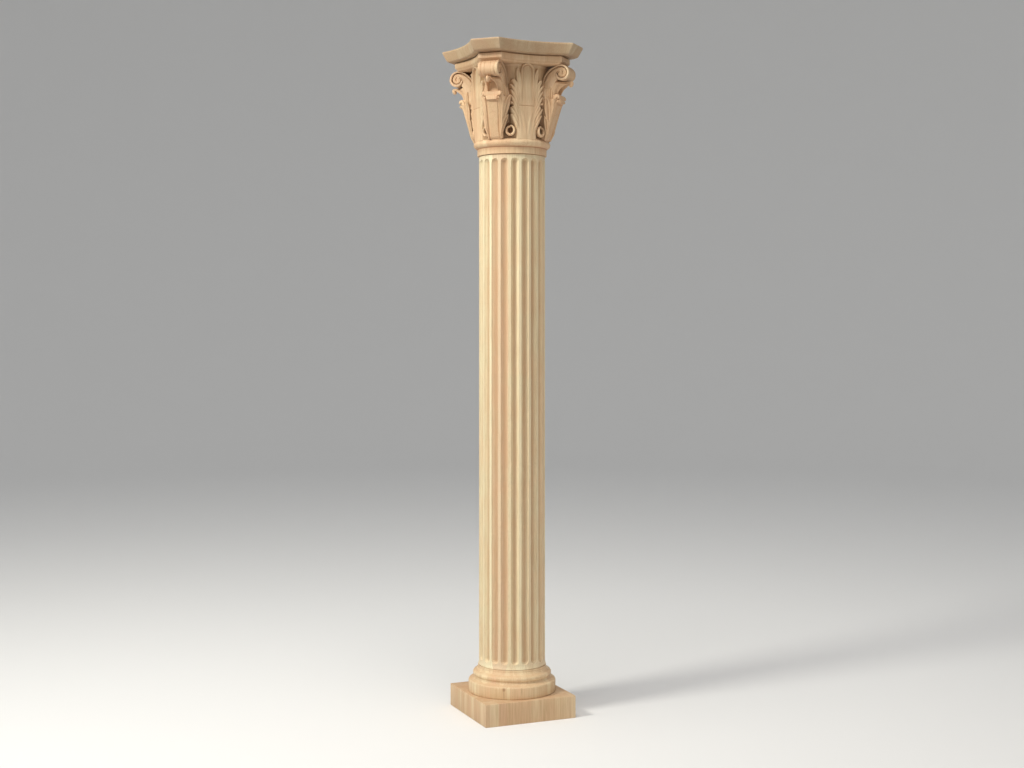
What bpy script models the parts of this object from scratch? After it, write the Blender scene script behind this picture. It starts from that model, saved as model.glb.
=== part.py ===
"""Corinthian column in glued-up light wood, for interiors.

Five pieces stand on each other: plinth, turned base, fluted shaft, carved capital and abacus slab.
Metres, +Z up. The origin is at the middle of the plinth's underside, and the sides of the plinth and
of the abacus face along X and Y.
"""

from math import asin, cos, pi, radians, sin, sqrt

import bpy
import numpy as np

# Driving dimensions
TOTAL_HEIGHT = 2.400
SHAFT_RADIUS = 0.1197
PLINTH_SIDE = 0.347
PLINTH_HEIGHT = 0.0795
BASE_HEIGHT = 0.0955
CAPITAL_HEIGHT = 0.3486
ABACUS_HEIGHT = 0.0396
JOINT_GAP = 0.0003

# Heights of the joints
BASE_Z = PLINTH_HEIGHT
SHAFT_Z = BASE_Z + BASE_HEIGHT
ABACUS_Z = TOTAL_HEIGHT - ABACUS_HEIGHT
CAPITAL_Z = ABACUS_Z - CAPITAL_HEIGHT

# Plinth
PLINTH_BEVEL = 0.002

# Turned base
TURNING_SEGMENTS = 38
DISC_RADIUS = 0.1576
DISC_HEIGHT = 0.0443
DISC_EDGE = 0.004
HOLLOW_RADIUS = 0.1362
TORUS_RADIUS = 0.1413
TORUS_CENTRE = 0.0658
TORUS_HALF_HEIGHT = 0.0095
FILLET_RADIUS = 0.1235
FILLET_HEIGHT = 0.0090

# Fluted shaft
FLUTES = 20
FLUTE_SHARE = 0.75
FLUTE_DEPTH = 0.0105
FLUTE_ARC_SEGMENTS = 4
TOP_BAND = 0.0150
BOTTOM_BAND = 0.0180
FOOT_FLARE = 0.0030
FOOT_FLARE_HEIGHT = 0.0150

# Abacus plan: a square with hollow sides and cut corners
ABACUS_CORNER = 0.2540
ABACUS_CUT = 0.0535
ABACUS_SIDE = 0.1925
ABACUS_SIDE_SEGMENTS = 8
ABACUS_FOOT_SCALE = 0.884
ABACUS_FILLET = 0.0075

# Capital, heights above its underside
NECKING_RADIUS = 0.1257
NECKING_HEIGHT = 0.0235
ASTRAGAL_RADIUS = 0.1391
ASTRAGAL_CENTRE = 0.0403
ASTRAGAL_HALF_HEIGHT = 0.0160
BELL_FOOT = 0.0560
BELL_TOP = 0.3174
BELL_FOOT_RADIUS = 0.1271
BELL_TOP_RADIUS = 0.1415
TIER_FOOT_SCALE = 0.785
TIER_SCALE = 0.819
TIER_BEVEL = 0.0096
TIER_HEIGHT = 0.0301

# Corner leaves of the capital
LEAF_FOOT_REACH = 0.1425
LEAF_SLOPE = 0.345
LEAF_BAND_HALF = 0.0190
LEAF_FOOT_HALF = 0.0270
LEAF_HALF = 0.0490
LEAF_LIP = 0.1790
LIP_REACH = 0.1960
UPPER_LEAF_FOOT = 0.2120
UPPER_LEAF_TOP = 0.2560
UPPER_LEAF_REACH = 0.2365

# Face leaves of the capital
LEAF_GAP_ANGLE = radians(23.9)
FACE_LEAF_HALF = 0.0530
FACE_LEAF_ROUND = 0.330
FACE_LEAF_FOOT_HALF = 0.0400
FACE_LEAF_RISE = 0.0070
LOBE_SWING = 0.0028
LOBE_PITCH = 0.0340
TONGUE_HALF = 0.0240
TONGUE_CHANNEL = 0.0185
TONGUE_SHOULDER = 0.2900

# Volutes
VOLUTE_CENTRE_REACH = 0.2016
VOLUTE_CENTRE_HEIGHT = 0.2870
VOLUTE_RADIUS = 0.0298
VOLUTE_HALF_WIDTH = 0.0374
VOLUTE_RIM = 0.0050
VOLUTE_RECESS = 0.0036
VOLUTE_TURNS = 1.35

# Eyelets, the small rings between the leaves
EYELET_HEIGHT = 0.0800
EYELET_ANGLE = radians(25.7)
EYELET_RADIUS = 0.0185
EYELET_HOLE = 0.0100
EYELET_SIDES = 8
EYELET_RISE = 0.0110

WOOD = (0.76, 0.57, 0.38, 1.0)


def clear_scene():
    """Remove every object, so that the script starts from nothing."""
    for thing in list(bpy.data.objects):
        bpy.data.objects.remove(thing, do_unlink=True)


def wood(name, tone):
    """Pale satin wood, tone multiplies its brightness."""
    material = bpy.data.materials.new(name)
    material.use_nodes = True
    shader = material.node_tree.nodes["Principled BSDF"]
    shader.inputs["Base Color"].default_value = (WOOD[0] * tone, WOOD[1] * tone, WOOD[2] * tone, 1.0)
    shader.inputs["Roughness"].default_value = 0.6
    shader.inputs["Metallic"].default_value = 0.0
    return material


def add_mesh(name, vertices, faces, material=None):
    """Make an object from a vertex array and a list of faces."""
    mesh = bpy.data.meshes.new(name)
    mesh.from_pydata([tuple(v) for v in vertices], [], faces)
    mesh.validate()
    item = bpy.data.objects.new(name, mesh)
    bpy.context.scene.collection.objects.link(item)
    if material is not None:
        mesh.materials.append(material)
    return item


def loft(name, rings, material=None):
    """Join rings, bottom to top, each anticlockwise from above, and close both ends.

    A ring has as many points as the one below it, or twice as many."""
    starts = np.cumsum([0] + [len(ring) for ring in rings])
    faces = []
    for low, high, end in zip(starts, starts[1:], starts[2:]):
        count = high - low
        step = (end - high) // count
        for i in range(count):
            j = (i + 1) % count
            if step == 1:
                faces.append((low + i, low + j, high + j, high + i))
            else:
                middle = high + 2 * i + 1
                faces.append((low + i, low + j, middle))
                faces.append((low + i, middle, high + 2 * i))
                faces.append((low + j, high + 2 * j, middle))
    faces.append(tuple(range(len(rings[0])))[::-1])
    faces.append(tuple(range(starts[-2], starts[-1])))
    faces = [tuple(int(i) for i in face) for face in faces]
    return add_mesh(name, np.concatenate(rings), faces, material)


def ring_xy(points, z):
    """Lift an array of plan points to height z."""
    points = np.asarray(points, dtype=float)
    return np.column_stack([points, np.full(len(points), z)])


def circle(radius, count):
    """Plan points of a circle, the first two on either side of the corner at -45 degrees."""
    angle = 2 * pi * (np.arange(count) + 0.5) / count - pi / 4
    return radius * np.column_stack([np.cos(angle), np.sin(angle)])


def turn(name, profile, material):
    """Turned piece: profile is a list of (radius, height), bottom to top."""
    return loft(name, [ring_xy(circle(r, TURNING_SEGMENTS), z) for r, z in profile], material)


def bulge(radius, centre, half_height, end_radius, steps):
    """Half ellipse in profile, from its lower end to its upper end, widest at radius."""
    turns = [pi * (i / steps - 0.5) for i in range(steps + 1)]
    return [(end_radius + (radius - end_radius) * cos(a), centre + half_height * sin(a)) for a in turns]


def build_plinth():
    """Square block, with its upper and upright edges eased by a small bevel."""
    half = PLINTH_SIDE / 2
    top = PLINTH_HEIGHT - JOINT_GAP
    cut = half - PLINTH_BEVEL
    side = np.array([(half, -cut), (half, cut)])
    eased = np.concatenate([side, side @ [[0, 1], [-1, 0]], -side, side @ [[0, -1], [1, 0]]])
    inner = eased * (cut / half)
    rings = [ring_xy(eased, 0.0), ring_xy(eased, top - PLINTH_BEVEL), ring_xy(inner, top)]
    return loft("plinth", rings, wood("plinth_wood", 0.95))


def build_base():
    """Turned base: disc with a rounded edge, hollow, torus, and the fillet that carries the shaft."""
    top = BASE_HEIGHT - JOINT_GAP
    profile = [
        (DISC_RADIUS, 0.0),
        (DISC_RADIUS, DISC_HEIGHT - DISC_EDGE),
        (DISC_RADIUS - DISC_EDGE, DISC_HEIGHT),
        (DISC_RADIUS - 0.0140, DISC_HEIGHT + 0.0045),
        (HOLLOW_RADIUS, TORUS_CENTRE - TORUS_HALF_HEIGHT - 0.0004),
    ]
    profile += bulge(TORUS_RADIUS, TORUS_CENTRE, TORUS_HALF_HEIGHT, HOLLOW_RADIUS, 4)
    profile += [
        (FILLET_RADIUS + 0.0075, TORUS_CENTRE + TORUS_HALF_HEIGHT + 0.0012),
        (FILLET_RADIUS + 0.0025, top - FILLET_HEIGHT - 0.0030),
        (FILLET_RADIUS, top - FILLET_HEIGHT),
        (FILLET_RADIUS, top),
    ]
    return turn("base", [(r, BASE_Z + z) for r, z in profile], wood("base_wood", 1.0))


def shaft_ring(radius, width, depth_share, z):
    """Plan of the shaft, with flutes as arcs sunk into it; the shares of width and depth are 1 when full."""
    pitch = 2 * pi / FLUTES
    half = FLUTE_SHARE * pitch / 2 * width
    depth = FLUTE_DEPTH * depth_share
    steps = np.arange(FLUTE_ARC_SEGMENTS + 1) / FLUTE_ARC_SEGMENTS * 2 - 1
    sunk = depth * np.clip(1 - steps ** 2, 0, 1) ** 0.75
    angle = (np.arange(FLUTES)[:, None] * pitch + steps[None, :] * half).ravel()
    reach = np.tile(radius - sunk, FLUTES)
    return ring_xy(np.column_stack([reach * np.cos(angle), reach * np.sin(angle)]), z)


def build_shaft():
    """Straight fluted shaft; each flute ends in a half circle below and above, with a plain band past it."""
    top = CAPITAL_Z - JOINT_GAP
    flute_low = SHAFT_Z + BOTTOM_BAND
    flute_high = top - TOP_BAND
    end_round = SHAFT_RADIUS * FLUTE_SHARE * pi / FLUTES
    ends = ((0.3, 0.0), (0.78, 0.75), (1.0, 1.0))
    rings = [
        shaft_ring(SHAFT_RADIUS + FOOT_FLARE, 1.0, 0.0, SHAFT_Z),
        shaft_ring(SHAFT_RADIUS, 0.8, 0.0, SHAFT_Z + FOOT_FLARE_HEIGHT),
    ]
    for width, depth in ends:
        rise = end_round * (1 - sqrt(1 - width ** 2))
        rings.append(shaft_ring(SHAFT_RADIUS, width, depth, flute_low + rise))
    for width, depth in ends[::-1]:
        rise = end_round * (1 - sqrt(1 - width ** 2))
        rings.append(shaft_ring(SHAFT_RADIUS, width, depth, flute_high - rise))
    rings.append(shaft_ring(SHAFT_RADIUS, 1.0, 0.0, top))
    return loft("shaft", rings, wood("shaft_wood", 1.02))


def hollow_side(scale, tangents):
    """Distance of the hollow side from the axis plane, at offsets along the side, for a scaled plan."""
    end = (ABACUS_CORNER + ABACUS_CUT) / sqrt(2) * scale
    half = (ABACUS_CORNER - ABACUS_CUT) / sqrt(2) * scale
    sagitta = end - ABACUS_SIDE * scale
    radius = (half ** 2 + sagitta ** 2) / (2 * sagitta)
    return ABACUS_SIDE * scale + radius - np.sqrt(radius ** 2 - np.asarray(tangents) ** 2), half


def quarter_turns(octant_points):
    """Mirror an octant about its face's middle and repeat the side four times, anticlockwise.

    octant_points are (along, out) pairs from the middle of the face at +X towards its corner,
    the first of them on the middle line."""
    along = np.asarray([p[0] for p in octant_points])
    out = np.asarray([p[1] for p in octant_points])
    side_along = np.concatenate([-along[:0:-1], along])
    side_out = np.concatenate([out[:0:-1], out])
    turns = []
    for quarter in range(4):
        c, s = cos(quarter * pi / 2), sin(quarter * pi / 2)
        turns.append(np.column_stack([side_out * c - side_along * s, side_out * s + side_along * c]))
    return np.concatenate(turns)


def abacus_plan(scale):
    """Plan of the abacus at a scale: hollow sides as arcs, and straight cuts at the corners."""
    _, half = hollow_side(scale, 0.0)
    tangents = half * np.arange(ABACUS_SIDE_SEGMENTS // 2 + 1) / (ABACUS_SIDE_SEGMENTS // 2)
    out, _ = hollow_side(scale, tangents)
    return quarter_turns(list(zip(tangents, out)))


def build_abacus():
    """Upper slab: an ovolo under a narrow fillet, round a plan with hollow sides and cut corners."""
    ovolo = ABACUS_HEIGHT - ABACUS_FILLET
    rings = []
    for step in range(4):
        angle = step / 3 * pi / 2
        scale = ABACUS_FOOT_SCALE + (1 - ABACUS_FOOT_SCALE) * sin(angle)
        rings.append(ring_xy(abacus_plan(scale), ABACUS_Z + ovolo * (1 - cos(angle))))
    rings.append(ring_xy(abacus_plan(1.0), TOTAL_HEIGHT))
    return loft("abacus", rings, wood("abacus_wood", 0.97))


def blend(value, start, end):
    """Share of the way from start to end, kept between 0 and 1."""
    return min(max((value - start) / (end - start), 0.0), 1.0)


def bell_radius(height):
    """Radius of the bell under the leaves: a vase that opens towards its top."""
    return BELL_FOOT_RADIUS + (BELL_TOP_RADIUS - BELL_FOOT_RADIUS) * blend(height, BELL_FOOT, BELL_TOP) ** 3


def polar(radius, angle):
    """(along, out) of a point at an angle from the middle of the face."""
    return radius * sin(angle), radius * cos(angle)


def at_corner(offset, reach):
    """(along, out) of a point at a reach along the corner's diagonal and an offset to its side."""
    return (reach - offset) / sqrt(2), (reach + offset) / sqrt(2)


def leaf_reach(height):
    """How far the flat front of a corner leaf stands out: a straight slope from the astragal."""
    return LEAF_FOOT_REACH + LEAF_SLOPE * (height - BELL_FOOT)


def corner_half(height):
    """Half width of a corner leaf: narrow between the eyelets at its foot, then broad."""
    return LEAF_FOOT_HALF + (LEAF_HALF - LEAF_FOOT_HALF) * blend(height, 0.085, 0.150)


def face_leaf(height):
    """Six points of the face leaf, from its middle to the gap beside the corner leaf.

    The leaf is a tongue with a channel between two ridges and a round top, and side lobes whose edge
    swings in and out. It is narrow between the eyelets, and above the lobes only the tongue is left."""
    bell = bell_radius(height)
    narrow = blend(height, 0.262, BELL_TOP)
    tongue = sqrt(max(1 - blend(height, TONGUE_SHOULDER, BELL_TOP) ** 2, 0.02))
    edge = FACE_LEAF_FOOT_HALF + (FACE_LEAF_HALF - FACE_LEAF_FOOT_HALF) * blend(height, 0.095, 0.140)
    if height > 0.120:
        edge += LOBE_SWING * cos(2 * pi * (height - 0.142) / LOBE_PITCH)
    edge += (TONGUE_HALF + 0.004 - edge) * narrow
    edge *= tongue
    ridge = TONGUE_HALF * tongue
    shoulder = ridge + 0.0055 + (edge - ridge - 0.0055) * 0.25 * (1 - narrow)
    deep = blend(height, 0.160, 0.230)
    floor = FACE_LEAF_RISE - 0.0015 * deep * (tongue > 0.3)
    crest = FACE_LEAF_RISE + 0.0035 * deep
    if tongue < 0.3:
        floor = crest
    flat = bell + FACE_LEAF_RISE * (1 - 0.5 * narrow)
    edge = max(edge, shoulder + 0.002)
    gap = LEAF_GAP_ANGLE * (1 - narrow) + (asin(edge / bell) + 0.05) * narrow
    return [
        (0.0, bell + floor),
        (TONGUE_CHANNEL * tongue, bell + floor),
        (ridge, bell + crest),
        (shoulder, flat - 0.0025 - shoulder ** 2 / FACE_LEAF_ROUND),
        (edge, flat - edge ** 2 / FACE_LEAF_ROUND),
        polar(bell - 0.003 * (1 - narrow), gap),
    ]


def leaf_section(height, reach, band, groove, shoulder, flank):
    """Plan of the capital at one height: the face leaf, then the corner leaf's flank, shoulder, groove
    and band, each given as (offset from the diagonal, reach along it)."""
    points = face_leaf(height)
    for offset, distance in (flank, shoulder, groove, (band, reach)):
        points.append(at_corner(offset, distance))
    return ring_xy(quarter_turns(points), CAPITAL_Z + height)


def lower_leaf_rings():
    """Corner leaf from the astragal to its curled lip: a flat band between grooves and rounded sides."""
    rings = []
    for height in (BELL_FOOT + 0.002, 0.095, 0.125, 0.142, 0.159, LEAF_LIP - 0.003):
        reach = leaf_reach(height)
        half = corner_half(height)
        grown = blend(height, BELL_FOOT, LEAF_LIP)
        band = min(LEAF_BAND_HALF, half - 0.011)
        rings.append(leaf_section(
            height, reach, band,
            (band + 0.0020, reach - 0.0035),
            (half - 0.0055, reach - 0.0075 - 0.004 * grown),
            (half, BELL_FOOT_RADIUS + 0.004 + 0.007 * grown),
        ))
    return rings


def lip_rings():
    """Curled lip: a narrow lower step and a wider upper one, both cut flat, then the hollow above."""
    middle = (LEAF_LIP + UPPER_LEAF_FOOT) / 2 - 0.002
    flank = (LEAF_HALF - 0.0005, 0.1430)
    low = (LIP_REACH, 0.0225, (0.0250, LIP_REACH - 0.006), (0.0360, 0.1830), flank)
    high = (LIP_REACH - 0.003, 0.0340, (0.0370, LIP_REACH - 0.006), (0.0385, 0.1760), flank)
    hollow = (0.1760, 0.0150, (0.0220, 0.1750), (0.0330, 0.1680), flank)
    steps = (
        (LEAF_LIP, low),
        (middle - 0.001, low),
        (middle, high),
        (UPPER_LEAF_FOOT - 0.004, high),
        (UPPER_LEAF_FOOT, hollow),
    )
    return [leaf_section(height, *plan) for height, plan in steps]


def upper_leaf_rings():
    """Small leaf under the volute: its underside slopes out to a blunt tip, its top runs back level."""
    tip = UPPER_LEAF_REACH
    steps = (
        (0.227, 0.1850, 0.0150, (0.0230, 0.1830), (0.0330, 0.1700)),
        (0.238, 0.2130, 0.0110, (0.0190, 0.2070), (0.0300, 0.1740)),
        (0.246, tip, 0.0075, (0.0105, tip - 0.005), (0.0270, 0.1800)),
        (UPPER_LEAF_TOP - 0.001, tip, 0.0070, (0.0100, tip - 0.005), (0.0250, 0.1780)),
        (UPPER_LEAF_TOP + 0.003, 0.1960, 0.0090, (0.0150, 0.1900), (0.0250, 0.1680)),
        (UPPER_LEAF_TOP + 0.008, 0.1500, 0.0150, (0.0200, 0.1480), (0.0300, 0.1430)),
    )
    rings = []
    for height, *plan in steps:
        taper = blend(height, steps[0][0], steps[-1][0])
        rings.append(leaf_section(height, *plan, (LEAF_HALF - 0.002 - 0.014 * taper, 0.1390)))
    return rings


def bell_ring(height):
    """Plan of the upper bell: the face leaf in front, the plain vase round the corner."""
    points = face_leaf(height)
    start = np.arctan2(points[-1][0], points[-1][1])
    bell = bell_radius(height)
    for step in (1, 2, 3, 4):
        points.append(polar(bell, start + (pi / 4 - 0.04 - start) * step / 4))
    return ring_xy(quarter_turns(points), CAPITAL_Z + height)


def tier_ring(scale, height):
    """Plan of the lower abacus tier, with as many points as the leaves' plan."""
    _, half = hollow_side(scale, 0.0)
    tangents = half * np.arange(9) / 8
    out, _ = hollow_side(scale, tangents)
    points = list(zip(tangents, out))
    cut = ABACUS_CUT * scale
    points.append(at_corner(cut * 0.4, ABACUS_CORNER * scale))
    return ring_xy(quarter_turns(points), CAPITAL_Z + height)


def capital_body():
    """Necking, astragal, leaves, bell and lower tier as one loft of plans."""
    turned = [(NECKING_RADIUS, 0.0), (NECKING_RADIUS, NECKING_HEIGHT)]
    turned += bulge(ASTRAGAL_RADIUS, ASTRAGAL_CENTRE, ASTRAGAL_HALF_HEIGHT, NECKING_RADIUS + 0.003, 5)[1:]
    rings = [ring_xy(circle(radius, TURNING_SEGMENTS), CAPITAL_Z + height) for radius, height in turned]
    rings += lower_leaf_rings() + lip_rings() + upper_leaf_rings()
    rings += [bell_ring(height) for height in (0.280, 0.298, BELL_TOP - 0.0050, BELL_TOP - 0.001)]
    tier_foot = CAPITAL_HEIGHT - JOINT_GAP - TIER_HEIGHT
    rings.append(tier_ring(TIER_FOOT_SCALE, tier_foot))
    rings.append(tier_ring(TIER_SCALE, tier_foot + TIER_BEVEL))
    rings.append(tier_ring(TIER_SCALE, CAPITAL_HEIGHT - JOINT_GAP))
    return loft("capital", rings, wood("capital_wood", 1.0))


def stalk_edge():
    """Upper edge of a volute's stalk, as (reach, height): it sweeps from the bell to the scroll's top."""
    scroll_top = VOLUTE_CENTRE_HEIGHT + VOLUTE_RADIUS
    knots = np.array([
        (0.1330, 0.2100),
        (0.1310, 0.2760),
        (0.1640, scroll_top),
        (VOLUTE_CENTRE_REACH, scroll_top),
    ])
    s = np.linspace(0.0, 1.0, 6)[:, None]
    weights = np.hstack([(1 - s) ** 3, 3 * (1 - s) ** 2 * s, 3 * (1 - s) * s ** 2, s ** 3])
    return weights @ knots


def spiral(start_radius, end_radius, turns, steps):
    """Spiral from the scroll's top, clockwise with the reach to the right, tightening evenly."""
    share = np.linspace(0.0, 1.0, steps + 1)
    angle = pi / 2 - 2 * pi * turns * share
    radius = start_radius + (end_radius - start_radius) * share
    return np.column_stack([
        VOLUTE_CENTRE_REACH + radius * np.cos(angle),
        VOLUTE_CENTRE_HEIGHT + radius * np.sin(angle),
    ])


def at_quarter(item_points, offset, quarter):
    """Place (reach, height) points on the diagonal of a quarter, at an offset to its left."""
    angle = pi / 4 + quarter * pi / 2
    reach, height = item_points[:, 0], item_points[:, 1]
    return np.column_stack([
        reach * cos(angle) - offset * sin(angle),
        reach * sin(angle) + offset * cos(angle),
        height + CAPITAL_Z,
    ])


def slab(outline, half_width):
    """Vertices and faces of four slabs, one on each diagonal, from an anticlockwise outline."""
    count = len(outline)
    vertices = []
    faces = []
    for quarter in range(4):
        first = len(vertices)
        vertices.extend(at_quarter(outline, half_width, quarter))
        vertices.extend(at_quarter(outline, -half_width, quarter))
        faces.append(tuple(first + i for i in reversed(range(count))))
        faces.append(tuple(first + count + i for i in range(count)))
        for i in range(count):
            j = (i + 1) % count
            faces.append((first + i, first + j, first + count + j, first + count + i))
    return vertices, faces


def volute_plate():
    """Outline of a volute's core: the stalk and the scroll without their rims."""
    inset = VOLUTE_RIM * 0.4
    edge = stalk_edge()[:-1] - np.array([0.0, inset])
    scroll = spiral(VOLUTE_RADIUS - inset, VOLUTE_RADIUS * 0.86 - inset, 0.62, 8)
    foot = np.array([[0.1780, 0.2480], [0.1740, 0.2100]])
    return np.concatenate([edge, scroll, foot])[::-1]


def volute_rim():
    """Outline of the raised rim: along the stalk's edge and round the scroll, and back inside it."""
    eye = VOLUTE_RADIUS * 0.42
    outer_edge = stalk_edge()[:-1]
    inner_edge = outer_edge + np.array([VOLUTE_RIM * 0.8, -VOLUTE_RIM * 0.6])
    outer_scroll = spiral(VOLUTE_RADIUS, eye, VOLUTE_TURNS, 16)
    inner_scroll = spiral(VOLUTE_RADIUS - VOLUTE_RIM, eye - VOLUTE_RIM * 0.8, VOLUTE_TURNS, 16)
    inner = np.concatenate([inner_edge, inner_scroll])[::-1]
    return np.concatenate([outer_edge, outer_scroll, inner])[::-1]


def eyelet_rings():
    """Vertices and faces of the eight eyelets, short tubes that stand out of the bell beside the gaps."""
    vertices = []
    faces = []
    inner = bell_radius(EYELET_HEIGHT) - 0.006
    outer = bell_radius(EYELET_HEIGHT) + EYELET_RISE
    section = ((EYELET_RADIUS, inner), (EYELET_RADIUS, outer), (EYELET_HOLE, outer), (EYELET_HOLE, inner))
    turns = 2 * pi * np.arange(EYELET_SIDES) / EYELET_SIDES
    for quarter in range(4):
        for side in (-1, 1):
            facing = quarter * pi / 2 + side * EYELET_ANGLE
            out = np.array([cos(facing), sin(facing), 0.0])
            along = np.array([-sin(facing), cos(facing), 0.0])
            up = np.array([0.0, 0.0, 1.0])
            first = len(vertices)
            for radius, reach in section:
                for turn_angle in turns:
                    place = out * reach + (along * cos(turn_angle) + up * sin(turn_angle)) * radius
                    vertices.append(place + up * (CAPITAL_Z + EYELET_HEIGHT))
            for loop in range(4):
                near = first + loop * EYELET_SIDES
                far = first + (loop + 1) % 4 * EYELET_SIDES
                for i in range(EYELET_SIDES):
                    j = (i + 1) % EYELET_SIDES
                    faces.append((near + i, near + j, far + j, far + i))
    return vertices, faces


def join_to(body, name, vertices, faces):
    """Unite a hidden set of closed shapes with the body by a Boolean."""
    tool = add_mesh(name, vertices, faces)
    tool.hide_render = True
    tool.display_type = "WIRE"
    union = body.modifiers.new(name, "BOOLEAN")
    union.operation = "UNION"
    union.solver = "EXACT"
    union.object = tool


def build_capital():
    """Capital: the lofted body united with the volutes' cores, their rims and the eyelets."""
    body = capital_body()
    join_to(body, "volute_cores", *slab(volute_plate(), VOLUTE_HALF_WIDTH - VOLUTE_RECESS))
    join_to(body, "volute_rims", *slab(volute_rim(), VOLUTE_HALF_WIDTH))
    join_to(body, "eyelet_tubes", *eyelet_rings())
    return body


clear_scene()
build_plinth()
build_base()
build_shaft()
build_capital()
build_abacus()
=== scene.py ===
"""Looks of a corinthian column in pale glued-up wood.

Lengths are in parts: the whole column is 660.8 parts high, so its shaft is 33 parts in radius.
Every shape is a formula over a grid of two parameters, worked out on whole arrays.
Face shapes are drawn on the face towards -Y, with t to the right, out away from the axis and h up.
Corner shapes are drawn on the corner between -X and -Y, with t to the right and out along the diagonal.
"""

from math import cos, pi, radians, sin, sqrt

import bpy
import numpy as np
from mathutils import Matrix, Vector


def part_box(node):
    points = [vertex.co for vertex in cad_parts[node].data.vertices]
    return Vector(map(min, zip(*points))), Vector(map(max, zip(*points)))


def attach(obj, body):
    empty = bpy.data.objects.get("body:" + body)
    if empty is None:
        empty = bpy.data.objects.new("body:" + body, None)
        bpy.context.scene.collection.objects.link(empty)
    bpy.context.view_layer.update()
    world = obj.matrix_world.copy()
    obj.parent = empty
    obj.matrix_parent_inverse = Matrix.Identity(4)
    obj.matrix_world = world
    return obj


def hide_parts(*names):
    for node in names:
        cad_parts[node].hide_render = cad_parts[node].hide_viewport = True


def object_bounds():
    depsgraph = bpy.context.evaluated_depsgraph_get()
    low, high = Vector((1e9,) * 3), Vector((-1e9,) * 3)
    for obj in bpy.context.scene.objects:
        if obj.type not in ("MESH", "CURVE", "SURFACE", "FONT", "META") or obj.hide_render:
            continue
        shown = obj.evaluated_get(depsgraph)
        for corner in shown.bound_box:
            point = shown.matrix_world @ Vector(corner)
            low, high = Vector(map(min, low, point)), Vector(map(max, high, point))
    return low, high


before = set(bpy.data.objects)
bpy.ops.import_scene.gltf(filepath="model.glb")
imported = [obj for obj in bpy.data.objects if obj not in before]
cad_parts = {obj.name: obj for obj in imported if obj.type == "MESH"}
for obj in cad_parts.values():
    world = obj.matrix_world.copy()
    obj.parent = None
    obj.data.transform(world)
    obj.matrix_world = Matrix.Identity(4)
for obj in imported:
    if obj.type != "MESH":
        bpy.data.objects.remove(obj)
cad_low, cad_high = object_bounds()

PART = (cad_high.z - cad_low.z) / 660.8
FOOT_Z = {node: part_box(node)[0].z for node in ("plinth", "base", "shaft", "capital", "abacus")}
JOINT_GAP = 0.0003

# Photograph's view
CAMERA_AZIMUTH = radians(-113.1)
CAMERA_DISTANCE = 5.386
CAMERA_HEIGHT = 1.411
CAMERA_LENS = 52.14
CAMERA_SHIFT = -0.0601

# Heights of the pieces
PLINTH_HEIGHT = 21.9
BASE_HEIGHT = 26.3
SHAFT_HEIGHT = 505.7
CAPITAL_HEIGHT = 96.0
ABACUS_HEIGHT = 10.9
GAP = JOINT_GAP / PART
TINY = 1e-12

# Plinth, base and shaft
PLINTH_HALF = 47.77
DISC_RADIUS = 43.39
SHAFT_RADIUS = 32.96
FLUTES = 20
FLUTE_DEPTH = 2.95
FLUTE_CUTTER = 4.05
FLUTE_TOP = SHAFT_HEIGHT - 4.1
FLUTE_BOTTOM = 4.95

# Abacus plan
ABACUS_CORNER = 69.93
ABACUS_CUT = 14.73
ABACUS_SIDE = 53.0
ABACUS_FOOT_SCALE = 0.884
TIER_SCALE = 0.819
TIER_FOOT_SCALE = 0.785

# Capital
BELL_TOP = 87.6
LEAF_SLOPE = 0.345
LEAF_FOOT = 15.4
LEAF_FOOT_REACH = 39.23
LIP_REACH = 54.0
FRONT_LEAN = -2.2
EYELET_ANGLE = radians(25.7)
EYELET_HEIGHT = 22.0
VOLUTE_REACH = 55.5
VOLUTE_HEIGHT = 79.0


def glide(x, knots, values):
    """Smooth curve through the knots that never swings past them: a cubic between each two, whose
    slope at a knot is the harmonic mean of the slopes beside it, or zero at a turning point."""
    x, knots, values = (np.asarray(given, dtype=float) for given in (x, knots, values))
    step = np.diff(knots)
    slope = np.diff(values) / step
    both = slope[1:] * slope[:-1]
    inner = np.where(both > 0, 2 * both / (slope[1:] + slope[:-1] + TINY), 0)
    tangent = np.concatenate([slope[:1], inner, slope[-1:]])
    i = np.clip(np.searchsorted(knots, x) - 1, 0, len(step) - 1)
    s = np.clip((x - knots[i]) / step[i], 0, 1)
    rise = tangent[i] * step[i]
    fall = tangent[i + 1] * step[i]
    low, high = values[i], values[i + 1]
    return (low * (1 + 2 * s) * (1 - s) ** 2 + rise * s * (1 - s) ** 2
            + high * s ** 2 * (3 - 2 * s) + fall * s ** 2 * (s - 1))


def through(points, count):
    """Points of a smooth curve through the given points, evenly spread along their chords."""
    points = np.asarray(points, dtype=float)
    along = np.concatenate([[0], np.cumsum(np.linalg.norm(np.diff(points[:, :2], axis=0), axis=1))])
    where = np.linspace(0, along[-1], count)
    return np.column_stack([glide(where, along, column) for column in points.T])


def soft(x, start, end):
    """Smooth share of the way from start to end, flat outside them."""
    s = np.clip((np.asarray(x, dtype=float) - start) / (end - start), 0, 1)
    return s * s * (3 - 2 * s)


def circle(count):
    """Angles of even steps once round a circle."""
    return 2 * pi * np.arange(count) / count


def spans(*stretches):
    """Evenly spread numbers in stretches (start, end, count), one after another."""
    return np.concatenate([np.linspace(*stretch) for stretch in stretches])


def unit(vectors):
    """Vectors scaled to a length of one."""
    return vectors / (np.linalg.norm(vectors, axis=-1, keepdims=True) + TINY)


def placed(name, data):
    """New object with its data, linked into the scene."""
    item = bpy.data.objects.new(name, data)
    bpy.context.scene.collection.objects.link(item)
    return item


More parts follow.
